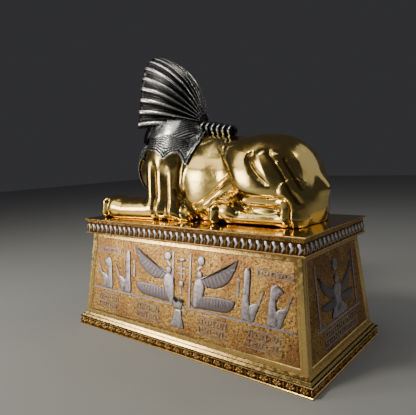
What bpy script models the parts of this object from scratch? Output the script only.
"""Recumbent sphinx with a ribbed silver headdress on a battered gilt plinth.

Metres, +Z up. The sphinx faces -Y and its left side is +X. The origin is the
centre of the plinth's underside.
"""

import math

import bmesh
import bpy
import numpy as np
from mathutils import Vector

# Sizes of the plinth
GAP = 0.0003
BASE_X, BASE_Y = 0.2187, 0.4270
BASE_BAND_H = 0.0136
BASE_STEP_H = 0.0033
BASE_STEP_IN = 0.0034
FOOT_X, FOOT_Y = 0.2010, 0.4090
WALL_H = 0.1325
SIDE_LEAN, END_LEAN = 0.124, 0.1025
CORNICE_X, CORNICE_Y = 0.1864, 0.4000
CORNICE_H = 0.0245
FRAME_SIDE = 0.0100
FRAME_FOOT, FRAME_TOP = 0.0058, 0.0062
RECESS = 0.0034
PANEL_T = 0.0023
RELIEF_H = 0.0010
LEAF_PITCH, LEAF_RELIEF = 0.0111, 0.0026
BEAD_PITCH, BEAD_RELIEF = 0.0177, 0.0022
COVE_DEPTH = 0.0022

# Heights that follow from the sizes above
STEPS = 2
WALL_FOOT_Z = BASE_BAND_H + STEPS * BASE_STEP_H + GAP
WALL_TOP_Z = WALL_FOOT_Z + WALL_H
CORNICE_Z = WALL_TOP_Z + GAP
TOP_Z = CORNICE_Z + CORNICE_H
STATUE_Z = TOP_Z + GAP

# Sizes of the figure, and how finely it is faceted
FIGURE_LENGTH = 0.3900
FIGURE_UNIT = FIGURE_LENGTH / 390.0
FINE = 3.4 * FIGURE_UNIT
BODY_FACETS = 2700
SHELL = 2.6 * FIGURE_UNIT
RIBS_PER_SIDE = 9
QUEUE_RINGS = 8


def clear_scene():
    for obj in list(bpy.data.objects):
        bpy.data.objects.remove(obj, do_unlink=True)


def material(name, colour, roughness, metallic=1.0):
    made = bpy.data.materials.new(name)
    made.use_nodes = True
    shader = made.node_tree.nodes["Principled BSDF"]
    shader.inputs["Base Color"].default_value = (*colour, 1.0)
    shader.inputs["Roughness"].default_value = roughness
    shader.inputs["Metallic"].default_value = metallic
    return made


def object_from(name, bm, mat=None, smooth=False):
    bmesh.ops.recalc_face_normals(bm, faces=bm.faces[:])
    mesh = bpy.data.meshes.new(name)
    bm.to_mesh(mesh)
    bm.free()
    obj = bpy.data.objects.new(name, mesh)
    bpy.context.scene.collection.objects.link(obj)
    if mat:
        mesh.materials.append(mat)
    if smooth:
        mesh.shade_smooth()
        mesh.set_sharp_from_angle(angle=math.radians(40))
    return obj


def helper(obj):
    obj.hide_render = True
    obj.display_type = "WIRE"
    return obj


def boolean(obj, other, operation):
    mod = obj.modifiers.new(operation.lower(), "BOOLEAN")
    mod.operation = operation
    mod.solver = "EXACT"
    mod.object = other
    return mod


def apply_all(obj):
    """Replace the object's mesh by what its modifiers make of it."""
    graph = bpy.context.evaluated_depsgraph_get()
    mesh = bpy.data.meshes.new_from_object(obj.evaluated_get(graph))
    obj.modifiers.clear()
    obj.data = mesh


# Plinth mouldings

def ring(bm, half_x, half_y, z):
    corners = [(-half_x, -half_y), (half_x, -half_y), (half_x, half_y), (-half_x, half_y)]
    return [bm.verts.new((x, y, z)) for x, y in corners]


def bridge(bm, low, high):
    count = len(low)
    return [
        bm.faces.new((low[i], low[(i + 1) % count], high[(i + 1) % count], high[i]))
        for i in range(count)
    ]


def band_ring(bm, half_x, half_y, z, count_x, count_y):
    """One level of a band that is divided evenly along each side."""
    points = []
    corners = [(-half_x, -half_y), (half_x, -half_y), (half_x, half_y), (-half_x, half_y)]
    for side, count in enumerate((count_x, count_y, count_x, count_y)):
        start = Vector(corners[side])
        end = Vector(corners[(side + 1) % 4])
        points += [start.lerp(end, i / count) for i in range(count)]
    return [bm.verts.new((p.x, p.y, z)) for p in points]


def moulding(name, levels, pitch, relief, drop, mat):
    """Stack of levels (half_x, half_y, z, kind) with a raised leaf or boss in each cell of the marked band.

    drop moves each leaf's highest point up its cell, in metres.
    """
    bm = bmesh.new()
    first = levels[0]
    count_x = max(2, round(2 * first[0] / pitch))
    count_y = max(2, round(2 * first[1] / pitch))
    rings = []
    for half_x, half_y, z, cut in levels:
        rings.append(
            band_ring(bm, half_x, half_y, z, count_x, count_y) if cut else ring(bm, half_x, half_y, z)
        )
    cells = []
    for low, high, upper in zip(rings, rings[1:], levels[1:]):
        if len(low) == len(high):
            faces = bridge(bm, low, high)
            if len(low) > 4 and upper[3] == "ornament":
                cells += faces
            continue
        fine, coarse = (low, high) if len(low) > 4 else (high, low)
        starts = [0, count_x, count_x + count_y, 2 * count_x + count_y, len(fine)]
        for side in range(4):
            run = [fine[i % len(fine)] for i in range(starts[side], starts[side + 1] + 1)]
            bm.faces.new(run + [coarse[(side + 1) % 4], coarse[side]])
    bm.faces.new(rings[0][::-1])
    bm.faces.new(rings[-1])
    bmesh.ops.recalc_face_normals(bm, faces=bm.faces[:])
    for tip in bmesh.ops.poke(bm, faces=cells, offset=relief)["verts"]:
        tip.co.z += drop
    return object_from(name, bm, mat)


def half_at(z):
    """Half sizes of the battered wall at a height."""
    rise = z - WALL_FOOT_Z
    return FOOT_X / 2 - SIDE_LEAN * rise, FOOT_Y / 2 - END_LEAN * rise


def wall_point(side, u, z, out):
    """A point on a wall: u along it, z up, out along its normal.

    The sides are "left" (+X), "right" (-X), "rear" (+Y) and "front" (-Y).
    """
    half_x, half_y = half_at(z)
    if side in ("left", "right"):
        lean = math.atan(SIDE_LEAN)
        sign = 1 if side == "left" else -1
        return Vector((sign * (half_x + out * math.cos(lean)), u, z + out * math.sin(lean)))
    lean = math.atan(END_LEAN)
    sign = 1 if side == "rear" else -1
    return Vector((u, sign * (half_y + out * math.cos(lean)), z + out * math.sin(lean)))


def panel_corners(side, inset):
    """(u, z) corners of a panel field, this far inside the frame's opening."""
    low = WALL_FOOT_Z + FRAME_FOOT + inset
    high = WALL_TOP_Z - FRAME_TOP - inset
    axis = 1 if side in ("left", "right") else 0
    wide = half_at(low)[axis] - FRAME_SIDE - inset
    narrow = half_at(high)[axis] - FRAME_SIDE - inset
    return [(-wide, low), (wide, low), (narrow, high), (-narrow, high)]


SIDES = ("left", "right", "rear", "front")


def plinth_walls(mat):
    bm = bmesh.new()
    low = ring(bm, *half_at(WALL_FOOT_Z), WALL_FOOT_Z)
    high = ring(bm, *half_at(WALL_TOP_Z), WALL_TOP_Z)
    bridge(bm, low, high)
    bm.faces.new(low[::-1])
    bm.faces.new(high)
    walls = object_from("plinth_walls", bm, mat)
    for side in SIDES:
        cutter = bmesh.new()
        prism(cutter, side, panel_corners(side, 0.0), -RECESS, RECESS)
        boolean(walls, helper(object_from("recess_" + side, cutter)), "DIFFERENCE")
    return walls


# Relief panels, drawn on a field in units: u along the wall from its middle, z up

FIELD_HALF = {"long": 187.2, "short": 82.5}
FIELD_LOW, FIELD_HIGH = 26.3, 146.4


def prism(bm, side, outline, low, high):
    """A flat raised shape on a wall, from its outline in (u, z)."""
    back = [bm.verts.new(wall_point(side, u, z, low)) for u, z in outline]
    face = [bm.verts.new(wall_point(side, u, z, high)) for u, z in outline]
    made = bridge(bm, back, face)
    made.append(bm.faces.new(back[::-1]))
    made.append(bm.faces.new(face))
    bmesh.ops.recalc_face_normals(bm, faces=made)


def disc(u, z, radius, sides=10):
    turns = [math.tau * i / sides for i in range(sides)]
    return [(u + radius * math.cos(a), z + radius * math.sin(a)) for a in turns]


def bar(u0, z0, u1, z1, w0, w1=None):
    """A straight strip between two points, tapering from width w0 to w1."""
    w1 = w0 if w1 is None else w1
    along = Vector((u1 - u0, z1 - z0)).normalized()
    across = Vector((-along.y, along.x)) / 2
    return [
        (u0 + across.x * w0, z0 + across.y * w0),
        (u0 - across.x * w0, z0 - across.y * w0),
        (u1 - across.x * w1, z1 - across.y * w1),
        (u1 + across.x * w1, z1 + across.y * w1),
    ]


def blade(root, tip, width, sag, steps=5):
    """A wing: a curved leaf from root to tip, widest past its middle."""
    start, end = Vector(root), Vector(tip)
    across = Vector((start.y - end.y, end.x - start.x)).normalized()
    upper, lower = [], []
    for i in range(steps + 1):
        t = i / steps
        centre = start.lerp(end, t) - across * sag * math.sin(math.pi * t)
        half = width * (0.22 + 0.78 * math.sin(math.pi * min(1.0, 0.12 + 0.80 * t))) / 2
        upper.append(tuple(centre + across * half))
        lower.append(tuple(centre - across * half))
    return lower + upper[::-1]


def winged_figure():
    """A kneeling winged woman with a disc over her head, looking towards +u."""
    return [
        disc(43, 132, 6.5),
        disc(41, 113, 5.5, 8),
        blade((31, 99), (103, 141), 19, 4),
        blade((34, 80), (99, 82), 19, 2),
        [(30, 69), (66, 69), (60, 84), (46, 108), (33, 106)],
    ]


def seated_figure(u, crowned):
    """A seated figure holding up a stem, with a tall crown or else a bird's head."""
    shapes = [
        [(u, 67), (u + 20, 67), (u + 12, 96), (u + 9, 103), (u + 2, 100)],
        [(u + 8, 67), (u + 19, 67), (u + 26, 88), (u + 23, 91), (u + 8, 84)],
        bar(u + 24, 88, u + 32, 107, 4.5, 1.2),
    ]
    if crowned:
        shapes.append([(u + 2, 98), (u + 11, 98), (u + 12, 128), (u + 8, 132), (u + 3, 129)])
    else:
        shapes.append(disc(u + 11, 109, 7.5, 9))
        shapes.append([(u + 15, 106), (u + 20, 109), (u + 15, 113)])
    return shapes


def stroke_block(left, right, low, high, count):
    """Two lines with a row of short upright strokes between them."""
    shapes = [bar(left, high, right, high, 2), bar(left, low, right, low, 2)]
    step = (right - left) / count
    middle = (low + high) / 2
    for i in range(count):
        u = left + step * (i + 0.5)
        shapes.append(bar(u - 0.8, middle - 3.2, u + 0.8, middle + 3.2, 2.2))
    return shapes


def other_half(shapes, scale=1.0, shift=0.0):
    return [[(shift - scale * u, z) for u, z in shape][::-1] for shape in shapes]


def side_relief():
    """The long panel: a pair of winged figures about an altar, with seated figures behind them."""
    right = winged_figure() + seated_figure(110, True) + seated_figure(148, False)
    centre = [
        bar(-186, 65, -8, 65, 3),
        bar(21, 65, 187, 65, 3),
        bar(-8, 66, -8, 138, 3),
        bar(24, 66, 24, 138, 3),
        [(-9, 35), (15, 35), (10, 59), (-2, 59)],
        [(-4, 62), (9, 62), (12, 76), (3, 72), (-6, 77)],
        disc(8, 96, 6, 8),
        bar(1, 130, 16, 130, 5),
        bar(2, 113, 15, 113, 3),
    ]
    blocks = []
    for left in (-172, -82, 40, 120):
        blocks += stroke_block(left, left + 49, 35, 57, 5)
    return right + other_half(right, 1.14, 30) + centre + blocks


def end_relief():
    """The end panel: a kneeling figure with raised wings under a disc, between two bars."""
    wing = [blade((8, 92), (50, 118), 15, 3)]
    centre = [
        disc(0, 126, 8),
        disc(0, 108, 6.5, 8),
        [(-9, 68), (9, 68), (12, 98), (0, 104), (-12, 98)],
        [(-22, 66), (22, 66), (14, 80), (-14, 80)],
        bar(-68, 58, 68, 58, 3),
        bar(-58, 59, -58, 132, 3),
        bar(58, 59, 58, 132, 3),
    ]
    return wing + other_half(wing) + centre + stroke_block(-50, 50, 36, 52, 8)


def relief_panel(side, shapes, mat):
    """A plate in the wall's recess, with the figures standing up from its ground."""
    back = -RECESS + GAP
    ground = back + PANEL_T
    corners = panel_corners(side, GAP)
    plate = bmesh.new()
    prism(plate, side, corners, back, ground)
    panel = object_from("relief_" + side, plate, mat)
    half = (corners[1][0] + corners[2][0]) / 2
    low, high = corners[0][1], corners[2][1]
    scale_u = half / FIELD_HALF["long" if side in ("left", "right") else "short"]
    scale_z = (high - low) / (FIELD_HIGH - FIELD_LOW)
    raised = bmesh.new()
    for i, shape in enumerate(shapes):
        outline = [(u * scale_u, low + (z - FIELD_LOW) * scale_z) for u, z in shape]
        step = 0.02 * (i % 11)
        prism(raised, side, outline, ground - PANEL_T * (0.4 + step), ground + RELIEF_H * (1 + step))
    figures = helper(object_from("figures_" + side, raised))
    boolean(panel, figures, "UNION").use_self = True
    return panel


# The figure's body, as one smooth form: every form gives a distance, less than zero inside

def ball(p, centre, radii, tilt=0.0):
    """An ellipsoid, tilted about X by this many degrees."""
    q = p - np.array(centre)
    a = math.radians(tilt)
    y = q[:, 1] * math.cos(a) + q[:, 2] * math.sin(a)
    z = -q[:, 1] * math.sin(a) + q[:, 2] * math.cos(a)
    q = np.stack([q[:, 0], y, z], axis=1)
    r = np.array(radii, float)
    near = np.linalg.norm(q / r, axis=1)
    steep = np.maximum(np.linalg.norm(q / r**2, axis=1), 1e-9)
    return near * (near - 1.0) / steep


def limb(p, start, end, r0, r1):
    """A round bar with a radius at each end."""
    a, b = np.array(start, float), np.array(end, float)
    along = b - a
    t = np.clip((p - a) @ along / (along @ along), 0.0, 1.0)
    return np.linalg.norm(p - a - t[:, None] * along, axis=1) - (r0 + (r1 - r0) * t)


def soft_min(a, b, k):
    h = np.maximum(k - np.abs(a - b), 0.0) / k
    return np.minimum(a, b) - h * h * k / 4


def path_distance(p, points):
    """Distance from each point's side view (y, z) to a line through these (y, z) points."""
    best = np.full(len(p), 1e9)
    q = p[:, 1:3]
    for a, b in zip(points, points[1:]):
        a, b = np.array(a, float), np.array(b, float)
        along = b - a
        t = np.clip((q - a) @ along / (along @ along), 0.0, 1.0)
        best = np.minimum(best, np.linalg.norm(q - a - t[:, None] * along, axis=1))
    return best


# Forms in shares of the figure's length (390 units), y to the rear, z from the plinth's top.
# Each pair stands on both sides: (kind, values..., softness of its join)
MIDLINE = (
    ("ball", (0, -78, 78), (48, 63, 58), 0, 1),
    ("ball", (0, 8, 62), (50, 92, 63), 0, 14),
    ("ball", (0, 6, 28), (46, 70, 40), 0, 14),
    ("ball", (0, 78, 62), (46, 74, 58), 0, 14),
    ("ball", (0, 118, 57), (50, 57, 61), 0, 14),
    ("ball", (0, 116, 28), (46, 50, 38), 0, 12),
    ("limb", (0, -70, 118), (0, -76, 160), 30, 25, 12),
    ("ball", (0, -82, 186), (31, 34, 42), 0, 10),
    ("ball", (0, -96, 176), (25, 23, 28), 0, 8),
    ("limb", (0, -112, 198), (0, -119, 186), 3.5, 4.5, 5),
    ("ball", (0, -112, 171), (11, 6, 4), 0, 4),
    ("ball", (0, -108, 159), (11, 9, 9), 0, 6),
    ("limb", (0, 168, 56), (0, 178, 46), 10, 8, 8),
    ("limb", (0, 176, 46), (-14, 168, 8), 8, 8, 8),
)
PAIRS = (
    ("ball", (36, -52, 84), (28, 44, 46), 0, 12),
    ("limb", (44, -62, 84), (46, -66, 24), 20, 18, 8),
    ("limb", (44, -34, 80), (46, -36, 24), 18, 18, 8),
    ("limb", (48, -60, 21), (53, -158, 18), 20, 19, 8),
    ("limb", (46, -40, 14), (46, -14, 6), 18, 10, 8),
    ("ball", (54, -164, 17), (18, 25, 18), 0, 4),
    ("ball", (31, 104, 60), (31, 58, 50), -24, 8),
    ("limb", (44, 78, 40), (46, 146, 36), 13, 12, 5),
    ("limb", (42, 60, 12), (43, 146, 12), 12, 12, 3),
    ("limb", (44, 144, 38), (42, 158, 12), 10, 9, 4),
    ("ball", (40, 55, 16), (16, 22, 17), 0, 3),
)
# Carved lines in side view: points (y, z), half width, depth (a ridge is less than zero)
CARVED = (
    (((52, 110), (58, 95), (64, 81), (71, 64), (79, 50), (88, 35)), 5.0, 4.5),
    (((66, 63), (56, 51), (38, 39), (25, 29), (11, 24)), 3.5, 2.6),
    (((101, 92), (107, 82), (115, 72), (124, 62)), 7.0, 7.0),
    (((124, 90), (133, 77), (142, 65), (156, 50), (166, 36), (166, 20)), 5.0, -3.0),
    (((138, 79), (148, 61), (160, 47)), 3.0, 2.4),
    (((147, 80), (159, 64), (173, 50)), 3.5, 2.6),
    (((88, 26), (121, 25), (146, 25)), 4.0, 6.0),
    (((91, 41), (122, 40), (145, 39), (157, 35), (163, 24), (160, 8)), 2.6, 2.2),
    (((-70, 76), (-70, 46), (-70, 20)), 3.4, 3.0),
    (((-20, 93), (-25, 79), (-30, 61), (-31, 44), (-29, 22)), 3.2, 2.6),
    (((-12, 93), (-12, 69), (-8, 45), (2, 24), (10, 8)), 5.0, 4.0),
)
TUFT = ((56, 40), (70, 45), (84, 38))


def form_distance(p, form):
    if form[0] == "ball":
        return ball(p, form[1], form[2], form[3])
    return limb(p, form[1], form[2], form[3], form[4])


def body_distance(p):
    """The whole body, less than zero inside, for points in the figure's units."""
    d = None
    for form in MIDLINE:
        f = form_distance(p, form)
        d = f if d is None else soft_min(d, f, form[-1])
    mirrored = np.stack([np.abs(p[:, 0]), p[:, 1], p[:, 2]], axis=1)
    for form in PAIRS:
        d = soft_min(d, form_distance(mirrored, form), form[-1])
    flank = np.clip((mirrored[:, 0] - 26.0) / 14.0, 0.0, 1.0)
    for points, half, depth in CARVED:
        d = d + flank * depth * np.exp(-((path_distance(p, points) / half) ** 2))
    for i, (y, z) in enumerate(TUFT[:-1]):
        end = TUFT[i + 1]
        d = soft_min(d, limb(p, (44, y, z), (44, *end), 6.5, 6.5), 3)
    toes = np.abs(np.abs(p[:, 0]) - 54) - 6.5
    paw = np.clip((-166 - p[:, 1]) / 8.0, 0, 1) * np.clip((30 - p[:, 2]) / 20.0, 0.2, 1)
    d = d + 2.6 * paw * np.exp(-((toes / 2.2) ** 2))
    return np.maximum(d, -p[:, 2])


def settle(points, distance, rounds, reach):
    """Move points along the slope of a distance until they lie on its zero surface."""
    for _ in range(rounds):
        d = distance(points)
        step = 0.4
        slope = np.stack(
            [(distance(points + step * axis) - distance(points - step * axis)) / (2 * step) for axis in np.eye(3)],
            axis=1,
        )
        size = np.maximum((slope**2).sum(axis=1), 0.04)
        move = slope * (d / size)[:, None]
        length = np.maximum(np.linalg.norm(move, axis=1, keepdims=True), 1e-9)
        points = points - move * np.minimum(1.0, reach / length)
    return points


def rough_body():
    """Every form as a plain solid, to be fused by a voxel remesh."""
    bm = bmesh.new()
    unit = FIGURE_UNIT

    def add(form, side):
        made = bmesh.ops.create_icosphere(bm, subdivisions=3, radius=1.0)["verts"]
        if form[0] == "ball":
            turn = math.radians(form[3])
            for v in made:
                x, y, z = (v.co[i] * form[2][i] for i in range(3))
                y, z = y * math.cos(turn) - z * math.sin(turn), y * math.sin(turn) + z * math.cos(turn)
                v.co = Vector((x, y, z)) + Vector(form[1])
        else:
            start, end = Vector(form[1]), Vector(form[2])
            along = (end - start).normalized()
            for v in made:
                forward = v.co.dot(along) > 0
                v.co = v.co * (form[4] if forward else form[3]) + (end if forward else start)
        for v in made:
            v.co.x *= side
            v.co *= unit

    for form in MIDLINE:
        add(form, 1)
    for form in PAIRS:
        add(form, 1)
        add(form, -1)
    for a, b in zip(TUFT, TUFT[1:]):
        add(("limb", (44, *a), (44, *b), 6.5, 6.5), 1)
    bm.faces.ensure_lookup_table()
    mesh = bpy.data.meshes.new("rough")
    bm.to_mesh(mesh)
    bm.free()
    return mesh


def sphinx_body(mat):
    obj = bpy.data.objects.new("sphinx_body", rough_body())
    bpy.context.scene.collection.objects.link(obj)
    remesh = obj.modifiers.new("fuse", "REMESH")
    remesh.mode = "VOXEL"
    remesh.voxel_size = FINE
    apply_all(obj)
    mesh = obj.data
    count = len(mesh.vertices)
    points = np.empty(count * 3, np.float32)
    mesh.vertices.foreach_get("co", points)
    points = points.reshape(-1, 3).astype(float) / FIGURE_UNIT
    points = settle(points, body_distance, 6, 3.0)
    mesh.vertices.foreach_set("co", (points * FIGURE_UNIT).astype(np.float32).ravel())
    mesh.update()
    cut = obj.modifiers.new("facets", "DECIMATE")
    triangles = sum(len(face.vertices) - 2 for face in mesh.polygons)
    cut.ratio = BODY_FACETS / triangles
    apply_all(obj)
    for v in obj.data.vertices:
        v.co.z = 0.0 if v.co.z < 0.0006 else v.co.z
        v.co.z += STATUE_Z
    obj.data.materials.clear()
    obj.data.materials.append(mat)
    obj.data.shade_smooth()
    return obj


def swollen(obj, name, grow):
    """A copy of a solid with every point moved out along its normal."""
    bm = bmesh.new()
    bm.from_mesh(obj.data)
    bm.normal_update()
    moves = [(v, v.co + v.normal * grow) for v in bm.verts]
    for v, place in moves:
        v.co = place
    return helper(object_from(name, bm))


# The headdress

ARCH = ((56, 144), (52, 168), (47, 193), (41, 217), (30, 240), (15, 250.5), (0, 253))
GATHER = (0, -10, 146)
GATHER_R = 7.0
FRONT_Y = -97.0


def curve_through(points, t):
    """A smooth curve through points, at t from 0 to 1."""
    spans = len(points) - 1
    at = min(max(t, 0.0), 1.0) * spans
    i = min(int(at), spans - 1)
    f = at - i
    p = [np.array(points[min(max(j, 0), spans)], float) for j in (i - 1, i, i + 1, i + 2)]
    return 0.5 * (
        2 * p[1] + (p[2] - p[0]) * f + (2 * p[0] - 5 * p[1] + 4 * p[2] - p[3]) * f**2
        + (3 * p[1] - p[0] - 3 * p[2] + p[3]) * f**3
    )


def hood_point(t, s, lift):
    """A point of the hood: t runs over the arch from one foot to the other, s from the gather to the front."""
    side = 1 if t < 0.5 else -1
    x, z = curve_through(ARCH, 1 - abs(1 - 2 * t))
    end = np.array((side * x, FRONT_Y, z))
    angle = math.pi * t
    start = np.array(GATHER, float) + GATHER_R * np.array((math.cos(angle), 0.15, math.sin(angle)))
    chord = end - start
    out = np.array((math.cos(angle), 0.9 * math.sin(angle) + 0.25, math.sin(angle)))
    out -= chord * (out @ chord) / (chord @ chord)
    out /= np.linalg.norm(out)
    bulge = (0.15 + 0.13 * math.sin(angle)) * np.linalg.norm(chord)
    middle = (start + end) / 2 + out * bulge
    point = (1 - s) ** 2 * start + 2 * s * (1 - s) * middle + s**2 * end
    return point + out * lift * (0.25 + 0.75 * s)


def hood(name):
    """The pleated cloth: round ribs that fan out from the gather to the front edge."""
    bm = bmesh.new()
    rows = []
    steps = 5
    parts = 2
    count = 2 * RIBS_PER_SIDE * parts
    for row in range(steps + 1):
        s = row / steps
        line = []
        for i in range(count + 1):
            lift = 3.6 * abs(math.sin(math.pi * i / parts)) - 1.6
            line.append(bm.verts.new(Vector(hood_point(i / count, s, lift)) * FIGURE_UNIT))
        rows.append(line)
    for low, high in zip(rows, rows[1:]):
        for i in range(count):
            bm.faces.new((low[i], low[i + 1], high[i + 1], high[i]))
        bm.faces.new((low[count], low[0], high[0], high[count]))
    bm.faces.new(rows[0])
    bm.faces.new(rows[-1][::-1])
    bmesh.ops.triangulate(bm, faces=bm.faces[:])
    bmesh.ops.translate(bm, verts=bm.verts[:], vec=(0, 0, STATUE_Z))
    return object_from(name, bm)


def queue(name):
    """The bound tail of the headdress, a row of rounded rings."""
    bm = bmesh.new()
    start, end = Vector((0, -22, 138.5)), Vector((0, 46, 127.3))
    along = (end - start).normalized()
    across = along.cross(Vector((1, 0, 0))).normalized()
    rings = []
    per_ring, sides = 2, 8
    total = QUEUE_RINGS * per_ring
    for i in range(total + 1):
        t = i / total
        radius = (10.8 - 3.0 * t) * (1.0 if i % per_ring else 0.80)
        centre = start.lerp(end, t)
        rings.append([
            bm.verts.new(
                (centre + radius * (Vector((1, 0, 0)) * math.cos(a) + across * math.sin(a))) * FIGURE_UNIT
                + Vector((0, 0, STATUE_Z))
            )
            for a in (math.tau * k / sides for k in range(sides))
        ])
    for low, high in zip(rings, rings[1:]):
        bridge(bm, low, high)
    bm.faces.new(rings[0][::-1])
    bm.faces.new(rings[-1])
    return object_from(name, bm)


def lappet(name, side):
    """A short band of the cloth that falls from a wing's foot onto the chest."""
    bm = bmesh.new()
    rows = []
    for y, z, half, deep in ((-80, 150, 11, 9), (-89, 140, 12, 9), (-98, 130, 12, 8), (-104, 119, 10, 7)):
        outline = ((-half, 0), (-half * 0.6, deep * 0.5), (half * 0.6, deep * 0.5), (half, 0), (0, -deep))
        rows.append([
            bm.verts.new(Vector((side * 30 + x, y - up * 0.6, z + up * 0.6)) * FIGURE_UNIT + Vector((0, 0, STATUE_Z)))
            for x, up in outline
        ])
    for low, high in zip(rows, rows[1:]):
        bridge(bm, low, high)
    bm.faces.new(rows[0])
    bm.faces.new(rows[-1][::-1])
    return helper(object_from(name, bm))


# Height of the mantle's scalloped edge, at angles about the shoulders from the chest round to the back
EDGE = ((0, 44), (10, 52), (20, 61), (32, 76), (44, 91), (56, 100), (70, 104), (84, 102), (92, 97), (99.5, 90.5),
        (107, 97), (117, 99), (124, 91), (130.5, 80), (138, 96), (147, 112), (160, 126), (180, 131))
EDGE_AXIS_Y = -50.0


def edge_height(angle):
    for (a0, z0), (a1, z1) in zip(EDGE, EDGE[1:]):
        if angle <= a1:
            return z0 + (z1 - z0) * (angle - a0) / (a1 - a0)
    return EDGE[-1][1]


def mantle_cutter(name):
    """Everything above the scalloped edge and below the yoke."""
    bm = bmesh.new()
    inner, outer, top, core = [], [], [], []
    degrees = [a for a, _ in EDGE] + [360 - a for a, _ in EDGE[-2:0:-1]]
    for degree in degrees:
        z = edge_height(min(degree, 360 - degree))
        a = math.radians(degree)
        direction = Vector((math.sin(a), -math.cos(a), 0))
        centre = Vector((0, EDGE_AXIS_Y, 0))
        inner.append(bm.verts.new((centre + direction * 5 + Vector((0, 0, z))) * FIGURE_UNIT))
        outer.append(bm.verts.new((centre + direction * 115 + Vector((0, 0, z))) * FIGURE_UNIT))
        top.append(bm.verts.new((centre + direction * 115 + Vector((0, 0, 138))) * FIGURE_UNIT))
        core.append(bm.verts.new((centre + direction * 5 + Vector((0, 0, 138))) * FIGURE_UNIT))
    bridge(bm, inner, outer)
    bridge(bm, outer, top)
    bridge(bm, top, core)
    bm.faces.new(core)
    bm.faces.new(inner[::-1])
    bmesh.ops.triangulate(bm, faces=bm.faces[:])
    bmesh.ops.translate(bm, verts=bm.verts[:], vec=(0, 0, STATUE_Z))
    return helper(object_from(name, bm))


def yoke(name):
    """The smooth collar under the hood."""
    bm = bmesh.new()
    made = bmesh.ops.create_uvsphere(bm, u_segments=16, v_segments=8, radius=1.0)["verts"]
    for v in made:
        v.co = (Vector((v.co.x * 52, v.co.y * 50, v.co.z * 17)) + Vector((0, -56, 131))) * FIGURE_UNIT
        v.co.z += STATUE_Z
    return helper(object_from(name, bm))


def headdress(body, mat):
    outer = swollen(body, "mantle_outer", SHELL + GAP)
    inner = swollen(body, "mantle_inner", GAP * 1.4)
    boolean(outer, mantle_cutter("mantle_edge"), "INTERSECT")
    apply_all(outer)
    outer.name = "headdress"
    outer.hide_render = False
    outer.display_type = "TEXTURED"
    outer.data.materials.clear()
    outer.data.materials.append(mat)
    lappets = [lappet("lappet_left", 1), lappet("lappet_right", -1)]
    for part in (yoke("collar"), helper(hood("hood")), helper(queue("queue")), *lappets):
        boolean(outer, part, "UNION")
        apply_all(outer)
    boolean(outer, inner, "DIFFERENCE")
    apply_all(outer)
    return outer


def main():
    clear_scene()
    gold = material("gilt_polished", (0.83, 0.56, 0.20), 0.12)
    dull_gold = material("gilt_chased", (0.55, 0.36, 0.14), 0.38)
    silver = material("silvered", (0.62, 0.61, 0.62), 0.24)
    plinth_gold = material("gilt_moulding", (0.66, 0.45, 0.19), 0.30)

    half_x, half_y = BASE_X / 2, BASE_Y / 2
    in_x, in_y = half_x - BASE_STEP_IN, half_y - BASE_STEP_IN
    ground_x, ground_y = half_x - BEAD_RELIEF, half_y - BEAD_RELIEF
    moulding("plinth_base", (
        (half_x, half_y, 0.0, ""),
        (half_x, half_y, 0.0024, ""),
        (ground_x, ground_y, 0.0030, "cut"),
        (ground_x, ground_y, BASE_BAND_H - 0.0018, "ornament"),
        (half_x, half_y, BASE_BAND_H - 0.0012, ""),
        (half_x, half_y, BASE_BAND_H, ""),
        (in_x, in_y, BASE_BAND_H, ""),
        (in_x, in_y, BASE_BAND_H + BASE_STEP_H, ""),
        (in_x - BASE_STEP_IN, in_y - BASE_STEP_IN, BASE_BAND_H + BASE_STEP_H, ""),
        (in_x - BASE_STEP_IN, in_y - BASE_STEP_IN, WALL_FOOT_Z - GAP, ""),
    ), BEAD_PITCH, BEAD_RELIEF, 0.0, plinth_gold)

    top_x, top_y = CORNICE_X / 2, CORNICE_Y / 2
    ground_x, ground_y = top_x - LEAF_RELIEF, top_y - LEAF_RELIEF
    moulding("plinth_cornice", (
        (top_x - 0.0014, top_y - 0.0014, CORNICE_Z, ""),
        (top_x - 0.0006, top_y - 0.0006, CORNICE_Z + 0.0030, ""),
        (ground_x, ground_y, CORNICE_Z + 0.0036, "cut"),
        (ground_x, ground_y, TOP_Z - 0.0083, "ornament"),
        (ground_x - 0.0008, ground_y - 0.0008, TOP_Z - 0.0077, ""),
        (top_x - COVE_DEPTH, top_y - COVE_DEPTH, TOP_Z - 0.0029, ""),
        (top_x, top_y, TOP_Z - 0.0023, ""),
        (top_x, top_y, TOP_Z, ""),
    ), LEAF_PITCH, LEAF_RELIEF, 0.0020, plinth_gold)

    plinth_walls(plinth_gold)
    for side in SIDES:
        shapes = side_relief() if side in ("left", "right") else end_relief()
        relief_panel(side, shapes, dull_gold)
    body = sphinx_body(gold)
    headdress(body, silver)
    for obj in list(bpy.data.objects):
        if obj.hide_render and not any(
            mod.type == "BOOLEAN" and mod.object == obj for other in bpy.data.objects for mod in other.modifiers
        ):
            bpy.data.objects.remove(obj, do_unlink=True)


main()
